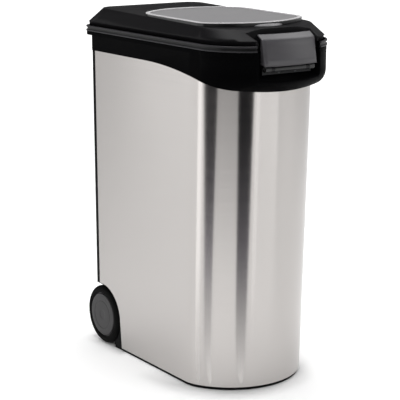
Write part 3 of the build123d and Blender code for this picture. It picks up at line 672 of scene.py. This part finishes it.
def screwHead():
    # domed head on -Y with a cross recess: its edge takes a share of the height, the dome the rest
    r, h, edge, steps = screws["radius"], screws["height"], screws["edge"], screws["steps"]
    work = bmesh.new()
    rises = [radians(90) * k / screws["rings"] for k in range(screws["rings"])]
    turns = [2 * pi * k / steps for k in range(steps)]
    loops = []
    for radius, out in [(r, 0.0)] + [(r * cos(a), h * (edge + (1 - edge) * sin(a))) for a in rises]:
        ring = [(radius * cos(a), -out, radius * sin(a)) for a in turns]
        loops.append([work.verts.new(Vector(point) * mm) for point in ring])
    for low, high in zip(loops, loops[1:]):
        for k in range(steps):
            work.faces.new((low[k], low[(k + 1) % steps], high[(k + 1) % steps], high[k]))
    work.faces.new(loops[0])
    tip = work.verts.new((0, -h * mm, 0))
    for k in range(steps):
        work.faces.new((loops[-1][k], loops[-1][(k + 1) % steps], tip))
    bmesh.ops.recalc_face_normals(work, faces=work.faces)
    head = temporaryPiece("screwHead", meshFrom("screwHead", work))
    reach = screws["slotReach"] * r
    for wide, tall in ((reach, screws["slot"]), (screws["slot"], reach)):
        cutter = bmesh.new()
        bmesh.ops.create_cube(cutter, size=1.0)
        bmesh.ops.scale(cutter, verts=cutter.verts, vec=Vector((wide, 2 * screws["slotDepth"], tall)) * mm)
        bmesh.ops.translate(cutter, verts=cutter.verts, vec=(0, -h * mm, 0))
        tool = temporaryPiece("slot", meshFrom("slot", cutter))
        cut = head.modifiers.new("recess", "BOOLEAN")
        cut.operation = "DIFFERENCE"
        cut.object = tool
        applyModifiers(head)
        bpy.data.objects.remove(tool)
    return head


head = screwHead()
screwValues = {"Head": head, "Finish": paint["darkSteel"]}
screwMesh = grow(screwTree(), meshOf("screws", screws["places"]), screwValues)
bpy.data.objects.remove(head)
smoothByAngle(screwMesh, 35.0)
newPiece("bracketScrews", screwMesh, "darkSteel", "tub", "pin_steel", "bracket_screws")
print("screws set:", len(screws["places"]))

# The sheet round the bin: an outline that leans out as it rises.
# The collar's curve ends it above, the wheel arch below
binSheet = {
    "baseHalf": 113.0, "upperHalf": 115.0, "baseFront": -188.0, "upperFront": -204.0, "upperHeight": 490.0,
    "noseTurn": 62.3, "shoulder": 60.0, "rearEdge": 173.5, "foot": 5.4, "thickness": 0.8,
    "swooshStart": 14.0, "swooshHeight": 528.85, "swooshDrop": 32.0,
    "archFoot": 101.5, "archRadius": 57.3,
    "rows": 44, "sideStart": -95.0, "sideColumns": 14, "archColumns": 10,
}


def sheetBottom(y):
    s = binSheet
    side = wheel["y"] - s["archRadius"]
    if y <= s["archFoot"]:
        return s["foot"]
    if y <= side:
        return s["foot"] + (wheel["z"] - s["foot"]) * (y - s["archFoot"]) / (side - s["archFoot"])
    return wheel["z"] + sqrt(max(s["archRadius"] ** 2 - min(y - wheel["y"], 0.0) ** 2, 0.0))


def sheetOutline(height):
    # right half of the outline at a height, with its last points along the straight side
    s = binSheet
    share = height / s["upperHeight"]
    half = s["baseHalf"] + (s["upperHalf"] - s["baseHalf"]) * share
    front = s["baseFront"] + (s["upperFront"] - s["baseFront"]) * share
    start, steps, archSteps = s["sideStart"], s["sideColumns"], s["archColumns"]
    ys = [start + (s["archFoot"] - start) * k / steps for k in range(steps + 1)]
    ys += [wheel["y"] - s["archRadius"] * cos(radians(90) * k / archSteps) for k in range(archSteps + 1)]
    ys += [s["rearEdge"]]
    return roundedFront(half, front, s["noseTurn"], s["shoulder"]) + [(half, y) for y in ys]


def sheetTree():
    # rows and columns of a grid take their places from the outline's points
    inputs = {
        "Columns": "Int", "Rows": "Int", "Finish": "Material",
        "Swoosh start": "Float", "Swoosh height": "Float", "Swoosh radius": "Float",
    }
    tree, wire = newTree("leaningSheet", inputs)
    columns = treeInput(wire, "Columns")
    size = {"Size X": 1.0, "Size Y": 1.0, "Vertices X": columns, "Vertices Y": treeInput(wire, "Rows")}
    grid = wire.node("GeometryNodeMeshGrid", {}, size, "Mesh")
    place = wire.node("GeometryNodeInputPosition")
    across = axisOf(wire, place, "X") + 0.5
    share = axisOf(wire, place, "Y") + 0.5
    column = wire.sum("ROUND", across * (columns - 1))

    def outlineValue(name, kind):
        field = wire.node("GeometryNodeInputNamedAttribute", {"data_type": kind}, {"Name": name})
        sample = {"Geometry": treeInput(wire, "Geometry"), "Value": field, "Index": column}
        return wire.node("GeometryNodeSampleIndex", {"data_type": kind}, sample)

    start = outlineValue("start", "FLOAT_VECTOR")
    lean = outlineValue("lean", "FLOAT_VECTOR")
    foot = outlineValue("foot", "FLOAT")
    startY = axisOf(wire, start, "Y")
    leanY = axisOf(wire, lean, "Y")
    limit = treeInput(wire, "Swoosh height")
    radius = treeInput(wire, "Swoosh radius")
    top = limit
    # how far the wall leans depends on its top, so the top is worked out three times over
    for _ in range(3):
        run = wire.sum("MAXIMUM", treeInput(wire, "Swoosh start") - startY - leanY * top, 0.0)
        top = limit - radius + wire.sum("SQRT", radius * radius - run * run)
    height = foot + (top - foot) * share
    moved = wire.node("ShaderNodeVectorMath", {"operation": "SCALE"}, {0: lean, "Scale": height}, "Vector")
    raised = wire.node("ShaderNodeCombineXYZ", {}, {"Z": height})
    spot = wire.node("ShaderNodeVectorMath", {"operation": "ADD"}, {0: start, 1: moved}, "Vector")
    spot = wire.node("ShaderNodeVectorMath", {"operation": "ADD"}, {0: spot, 1: raised}, "Vector")
    endTree(wire, wire.node("GeometryNodeSetPosition", {}, {"Geometry": grid, "Position": spot}))
    return tree


def buildSheet():
    s = binSheet
    low, high = sheetOutline(0.0), sheetOutline(s["upperHeight"])
    right = list(zip(low, high))
    both = [((-a[0], a[1]), (-b[0], b[1])) for a, b in reversed(right[1:])] + right
    base = meshOf("binSheet", [(*a, 0) for a, b in both])
    for name, kind in (("start", "FLOAT_VECTOR"), ("lean", "FLOAT_VECTOR"), ("foot", "FLOAT")):
        base.attributes.new(name, kind, "POINT")
    start, lean, foot = (base.attributes[name].data for name in ("start", "lean", "foot"))
    for index, (a, b) in enumerate(both):
        start[index].vector = (a[0] * mm, a[1] * mm, 0)
        lean[index].vector = ((b[0] - a[0]) / s["upperHeight"], (b[1] - a[1]) / s["upperHeight"], 0)
        foot[index].value = sheetBottom(a[1]) * mm
    radius = ((s["swooshStart"] - s["upperFront"]) ** 2 + s["swooshDrop"] ** 2) / (2 * s["swooshDrop"])
    values = {
        "Columns": len(both), "Rows": s["rows"] + 1, "Finish": paint["brushedSheet"],
        "Swoosh start": s["swooshStart"] * mm, "Swoosh height": s["swooshHeight"] * mm,
        "Swoosh radius": radius * mm,
    }
    return grow(sheetTree(), base, values)


sheet = temporaryPiece("binSheet", facesOut(buildSheet()))
wall = sheet.modifiers.new("wall", "SOLIDIFY")
wall.thickness = binSheet["thickness"] * mm
wall.offset = -1.0
sheetMesh = applyModifiers(sheet)
bpy.data.objects.remove(sheet)
smoothByAngle(sheetMesh, 40.0)
newPiece("binSheet", sheetMesh, "brushedSheet", "tub", "brushed_sheet", "steel_wrap")
print("sheet made:", len(sheetMesh.polygons), "faces")


# The stage: a pale floor, soft light and the photograph's camera
studio = {
    "floorReach": 14.0, "floorColour": 0.9, "nearGlow": 0.30, "nearGloss": 0.28, "farGlow": 1.0,
    "glowFrom": 0.9, "glowTo": 4.0,
    "sideGloss": 0.42, "sideAim": (0.848, 0.53, 0), "sideSpan": (-0.16, 0.02), "besideSpan": (-0.10, 0.0),
    "frontSide": -0.010, "frontCentre": -0.074, "frontRadius": 0.1135, "contactReach": 0.04,
    "wheelHalf": 0.114, "wheelMiddle": 0.135, "wheelReach": 0.035, "wheelFade": 0.02,
    "worldFill": 0.4, "worldGloss": 0.95, "worldHigh": 0.12, "worldSpan": (-0.02, 0.22),
    "cardHeight": 0.8, "matLift": 1.0,
    "cameraPlace": (-1.32398, -1.87595, 0.81707), "cameraTurn": -34.92, "cameraDip": 13.15,
    "sensorWidth": 36.0, "focalPixels": 1370.0, "picturePixels": 400.0,
}


def stageMesh(name, corners, material):
    mesh = bpy.data.meshes.new(name)
    mesh.from_pydata([tuple(c) for c in corners], [], [tuple(range(len(corners)))])
    mesh.materials.append(material)
    thing = bpy.data.objects.new(name, mesh)
    bpy.context.scene.collection.objects.link(thing)
    return thing


def floorMaterial():
    material, wire, shader = newMaterial("paleFloor")
    shade = studio["floorColour"]
    shader.inputs["Base Color"].default_value = (shade, shade, shade, 1)
    shader.inputs["Roughness"].default_value = 0.8
    shader.inputs["Specular IOR Level"].default_value = 0.1
    seen = wire.node("ShaderNodeLightPath", output="Is Camera Ray")
    glossy = wire.node("ShaderNodeLightPath", output="Is Glossy Ray")
    place = wire.node("ShaderNodeTexCoord", output="Object")
    away = wire.node("ShaderNodeVectorMath", {"operation": "LENGTH"}, {0: place}, "Value")
    span = (studio["glowFrom"], studio["glowTo"])
    looked = mapOn(wire, away, *span, studio["nearGlow"], studio["farGlow"])
    mirrored = mapOn(wire, away, *span, studio["nearGloss"], studio["farGlow"])
    # the floor behind the bin's near side mirrors a little darker
    behind = distanceAlong(wire, place, studio["sideAim"])
    dimmed = mapOn(wire, behind, *studio["sideSpan"], 1.0, studio["sideGloss"])
    # close to the rounded front the floor keeps its whole shadow
    x = axisOf(wire, place, "X")
    y = axisOf(wire, place, "Y")
    ahead = wire.sum("MAXIMUM", studio["frontCentre"] - y, 0.0)
    aside = x - studio["frontSide"]
    gap = wire.sum("SQRT", aside * aside + ahead * ahead) - studio["frontRadius"]
    free = mapOn(wire, gap, 0.0, studio["contactReach"])
    beside = mapOn(wire, y, *studio["besideSpan"])
    # and so does the floor between the wheels and the bin's foot
    pastSide = wire.sum("ABSOLUTE", x) - studio["wheelHalf"]
    pastEnd = wire.sum("ABSOLUTE", y - studio["wheelMiddle"]) - studio["wheelReach"]
    clear = mapOn(wire, wire.sum("MAXIMUM", pastSide, pastEnd), 0.0, studio["wheelFade"])
    looked = looked * wire.sum("MAXIMUM", free, beside) * clear
    plugIn(wire.tree, shader.inputs["Emission Color"], seen * looked + glossy * mirrored * dimmed)
    shader.inputs["Emission Strength"].default_value = 1.0
    return material


reach = studio["floorReach"]
floorCorners = [(-reach, -reach, 0), (reach, -reach, 0), (reach, reach, 0), (-reach, reach, 0)]
stageMesh("paleFloor", floorCorners, floorMaterial())


def buildWorld():
    world = bpy.data.worlds.new("paleStudio")
    world.use_nodes = True
    bpy.context.scene.world = world
    wire = Wire(world.node_tree)
    seen = wire.node("ShaderNodeLightPath", output="Is Camera Ray")
    glossy = wire.node("ShaderNodeLightPath", output="Is Glossy Ray")
    through = wire.node("ShaderNodeLightPath", output="Is Transmission Ray")
    bright = seen.sum("MAXIMUM", seen, through)
    rise = axisOf(wire, wire.node("ShaderNodeTexCoord", output="Generated"), "Z")
    ceiling = mapOn(wire, rise, *studio["worldSpan"], studio["worldGloss"], studio["worldHigh"])
    strength = bright + (1 - bright) * (glossy * ceiling + (1 - glossy) * studio["worldFill"])
    background = world.node_tree.nodes["Background"]
    background.inputs["Color"].default_value = (1, 1, 1, 1)
    plugIn(wire.tree, background.inputs["Strength"], strength)


buildWorld()


def softBox(name, place, target, width, height, power):
    light = bpy.data.lights.new(name, "AREA")
    light.shape = "RECTANGLE"
    light.size = width
    light.size_y = height
    light.energy = power
    thing = bpy.data.objects.new(name, light)
    thing.location = place
    thing.rotation_euler = (Vector(target) - Vector(place)).to_track_quat("-Z", "Y").to_euler()
    bpy.context.scene.collection.objects.link(thing)


# name: place, target, width, height, power
lamps = {
    "topBox": ((0.0, 0.3, 2.6), (0, 0, 0.3), 1.3, 1.3, 38),
    "leftBox": ((-2.4, -1.2, 1.5), (0, 0, 0.3), 1.4, 1.6, 14),
    "rightBox": ((2.0, -1.8, 1.5), (0, 0, 0.3), 1.4, 1.6, 12),
    "claspBox": ((1.3, -0.05, 2.1), (0, -0.2, 0.6), 1.0, 1.0, 10),
}
for name, values in lamps.items():
    softBox(name, *values)


# Cards stand before the rounded front, and only reflections show them.
# Each has its place on the bin in millimetres, then its direction, width in degrees and distance
cards = {
    "leftFlag": {"from": (-98, -148), "azimuth": -74.5, "spread": 14.0, "widen": 19.0, "distance": 0.60,
                 "glow": 0.004, "foot": 0.58, "fade": 0.076, "tint": (0.95, 0.9, 1.05)},
    "greyCard": {"from": (-78, -170), "azimuth": -47.0, "spread": 40.0, "distance": 0.66,
                 "glow": 0.14, "foot": 1.1, "fade": 0.35},
    "rightFlag": {"from": (-56, -184), "azimuth": -20.5, "spread": 20.0, "widen": 14.0, "distance": 0.48,
                  "glow": 0.004, "foot": 0.36, "fade": 0.086, "tint": (0.95, 0.9, 1.05)},
    "brightStrip": {"from": (-40, -191), "azimuth": -1.5, "spread": 6.0, "distance": 0.50,
                    "glow": 1.45, "foot": 0.0, "fade": 1.0},
    "leftStrip": {"from": (-109, -130), "azimuth": -94.5, "spread": 14.0, "distance": 0.60,
                  "glow": 1.75, "foot": 0.0, "fade": 1.0},
}


def glowMaterial(name):
    material, wire, shader = newMaterial(name)
    shader.inputs["Base Color"].default_value = (0, 0, 0, 1)
    shader.inputs["Specular IOR Level"].default_value = 0.0
    shader.inputs["Emission Strength"].default_value = 1.0
    return material, wire, shader.inputs["Emission Color"]


def cardMaterial(name, glow, foot, fade, tint):
    # glows most at its foot, where the pale floor lights it
    material, wire, shine = glowMaterial(name)
    height = axisOf(wire, wire.node("ShaderNodeTexCoord", output="Object"), "Z")
    level = glow + foot * wire.sum("EXPONENT", height * (-1 / fade))
    values = {0: tint, "Scale": level}
    plugIn(wire.tree, shine, wire.node("ShaderNodeVectorMath", {"operation": "SCALE"}, values, "Vector"))
    return material


def matMaterial(name, start, out, near, far):
    # the glow runs from one level to another along a direction
    material, wire, shine = glowMaterial(name)
    place = wire.node("ShaderNodeTexCoord", output="Object")
    along = distanceAlong(wire, place, out) - start.dot(out)
    plugIn(wire.tree, shine, mapOn(wire, along, near[0], far[0], near[1], far[1]))
    return material


def mirroredOnly(thing):
    thing.visible_camera = False
    thing.visible_diffuse = False
    thing.visible_shadow = False
    thing.visible_transmission = False


def cardAxes(card):
    # the way out from the bin to a card, and the way across it
    turn = radians(card["azimuth"])
    return Vector((sin(turn), -cos(turn), 0)), Vector((cos(turn), sin(turn), 0))


def standCard(name, values):
    # a card can widen towards its top
    out, across = cardAxes(values)
    foot = Vector((*values["from"], 0)) * mm + out * values["distance"]
    half = across * values["distance"] * tan(radians(values["spread"] / 2))
    up = Vector((0, 0, studio["cardHeight"]))
    wide = across * values["distance"] * tan(radians((values["spread"] + values.get("widen", 0.0)) / 2))
    corners = [foot - half, foot + half, foot + wide + up, foot - wide + up]
    tint = values.get("tint", (1, 1, 1))
    material = cardMaterial(name, values["glow"], values["foot"], values["fade"], tint)
    mirroredOnly(stageMesh(name, corners, material))


def layMat(name, card, near, far):
    # a mat on the floor between a card and the bin, as wide as the card looks from there
    out, across = cardAxes(cards[card])
    start = Vector((*cards[card]["from"], studio["matLift"])) * mm
    corners = []
    for distance, side in ((near[0], -1), (near[0], 1), (far[0], 1), (far[0], -1)):
        half = across * side * distance * tan(radians(cards[card]["spread"] / 2))
        corners.append(start + out * distance + half)
    mirroredOnly(stageMesh(name, corners, matMaterial(name, start, out, near, far)))


# near and far: distance from the sheet, and the mat's glow there
mats = {
    "leftMat": {"card": "leftFlag", "near": (0.02, 1.25), "far": (0.595, 0.57)},
    "rightMat": {"card": "rightFlag", "near": (0.02, 1.2), "far": (0.475, 0.42)},
    "stripMat": {"card": "leftStrip", "near": (0.02, 1.0), "far": (0.595, 1.6)},
}
for name, values in cards.items():
    standCard(name, values)
for name, values in mats.items():
    layMat(name, **values)


def buildCamera():
    camera = bpy.data.cameras.new("photoCamera")
    camera.sensor_width = studio["sensorWidth"]
    camera.lens = studio["sensorWidth"] * studio["focalPixels"] / studio["picturePixels"]
    thing = bpy.data.objects.new("photoCamera", camera)
    thing.location = studio["cameraPlace"]
    thing.rotation_euler = (radians(90 - studio["cameraDip"]), 0, radians(studio["cameraTurn"]))
    bpy.context.scene.collection.objects.link(thing)
    bpy.context.scene.camera = thing


buildCamera()
bpy.context.scene.view_settings.view_transform = "Standard"
print("stage set")
